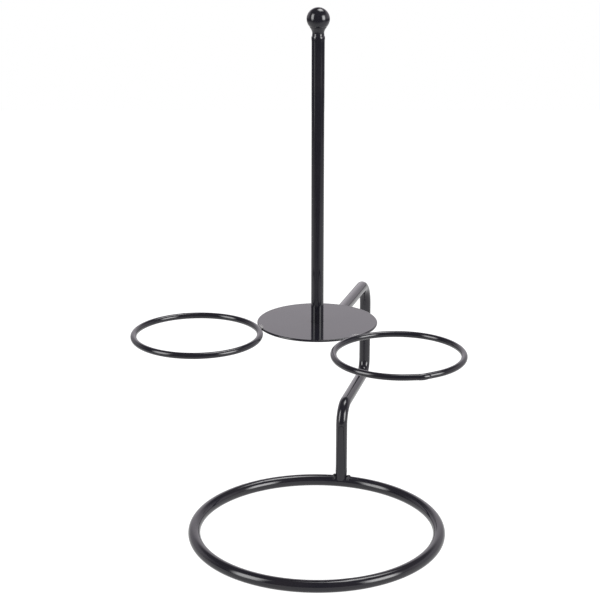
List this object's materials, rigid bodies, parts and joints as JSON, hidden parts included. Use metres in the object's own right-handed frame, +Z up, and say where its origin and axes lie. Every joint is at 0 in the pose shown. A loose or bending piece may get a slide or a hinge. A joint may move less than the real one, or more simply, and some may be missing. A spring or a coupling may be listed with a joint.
{
  "type": "sauce cup food stand",
  "caption": "Gloss black wire stand: bar base ring, bent post, small plate with a tall ball-topped rod, and wire rings that hold sauce cups beside the plate.",
  "frame": {"origin": "middle of the base ring at table level, under the middle rod", "axes": "+Z up along the rod to the ball, -Y the user's side between the cup rings, +Y the side of the post, +X to the user's right"},
  "size_m": [0.185, 0.2284, 0.3048],
  "materials": {
    "black_coat": "high gloss black coat over steel bar, wire and plate",
    "coated_weld": "the same gloss black coat over slightly uneven weld beads"
  },
  "bodies": {
    "root": {"base_ring": "black_coat", "base_ring_seam": "coated_weld", "bent_bar": "black_coat", "foot_weld": "coated_weld", "plate": "black_coat", "plate_weld": "coated_weld", "ball_finial": "black_coat", "ball_weld": "coated_weld", "cup_ring_left": "black_coat", "cup_ring_right": "black_coat", "cup_seam_left": "coated_weld", "cup_seam_right": "coated_weld", "cup_weld_left": "coated_weld", "cup_weld_right": "coated_weld"}
  },
  "joints": []
}
